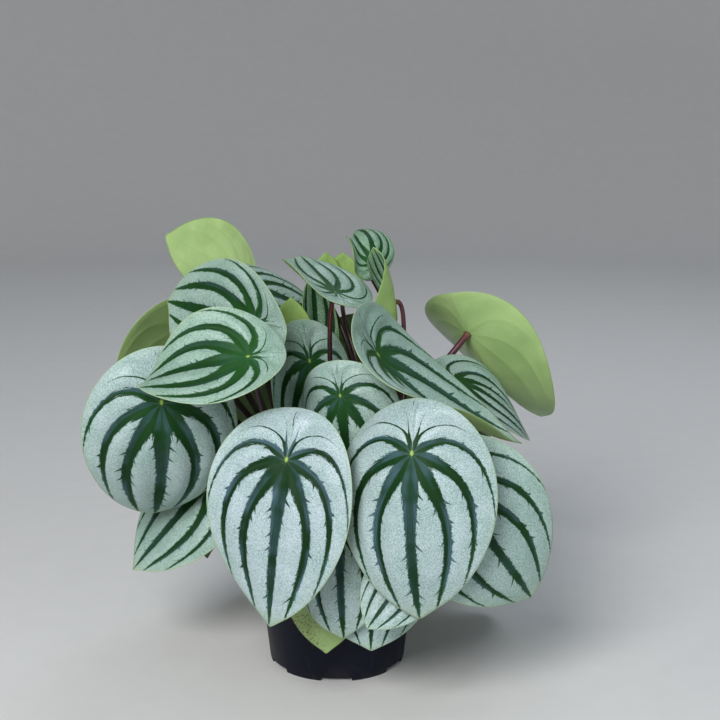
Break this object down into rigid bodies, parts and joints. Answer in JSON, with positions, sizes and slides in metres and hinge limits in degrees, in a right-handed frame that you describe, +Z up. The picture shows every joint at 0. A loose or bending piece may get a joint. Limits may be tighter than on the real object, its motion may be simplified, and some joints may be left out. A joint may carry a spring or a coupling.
{
  "type": "potted peperomia",
  "caption": "Tabletop foliage plant with ovate, silver-striped leaves on dark red stalks, growing as a full rounded crown from a plain round nursery pot filled with soil.",
  "frame": {"origin": "middle of the pot's underside, on the surface that the pot stands on", "axes": "+Z up through the pot's axis, -Y towards the side of the plant that faces the viewer, +X to the viewer's right"},
  "size_m": [0.2582, 0.2358, 0.2405],
  "materials": {
    "pot": "near-black navy moulded plastic, satin",
    "soil": "moist dark peat and composted bark, as light as wood, with fine crumbs",
    "stalk": "smooth burgundy skin, slightly glossy",
    "leaf": "silver-green satin with dark green bands along the veins, pale lime underside",
    "young_leaf": "bright lime satin, bands still faint"
  },
  "bodies": {
    "root": {"pot": "pot", "soil": "soil", "stems": "stalk", "leaf_01": "leaf", "leaf_02": "leaf", "leaf_03": "leaf", "leaf_04": "leaf", "leaf_05": "leaf", "leaf_06": "leaf", "leaf_07": "leaf", "leaf_08": "leaf", "leaf_09": "leaf", "leaf_10": "leaf", "leaf_11": "leaf", "leaf_12": "leaf", "leaf_13": "leaf", "leaf_14": "leaf", "leaf_15": "leaf", "leaf_16": "leaf", "leaf_17": "leaf", "leaf_18": "leaf", "leaf_19": "leaf", "leaf_20": "leaf", "leaf_21": "leaf", "leaf_22": "leaf", "leaf_23": "leaf", "leaf_24": "leaf", "leaf_25": "leaf", "leaf_26": "leaf", "leaf_27": "leaf", "leaf_28": "leaf", "leaf_29": "leaf", "leaf_30": "leaf", "leaf_31": "leaf", "leaf_32": "leaf", "leaf_33": "leaf", "young_leaf_1": "young_leaf", "young_leaf_2": "young_leaf", "young_leaf_3": "young_leaf", "young_leaf_4": "young_leaf", "young_leaf_5": "young_leaf", "young_leaf_6": "young_leaf"}
  },
  "joints": []
}
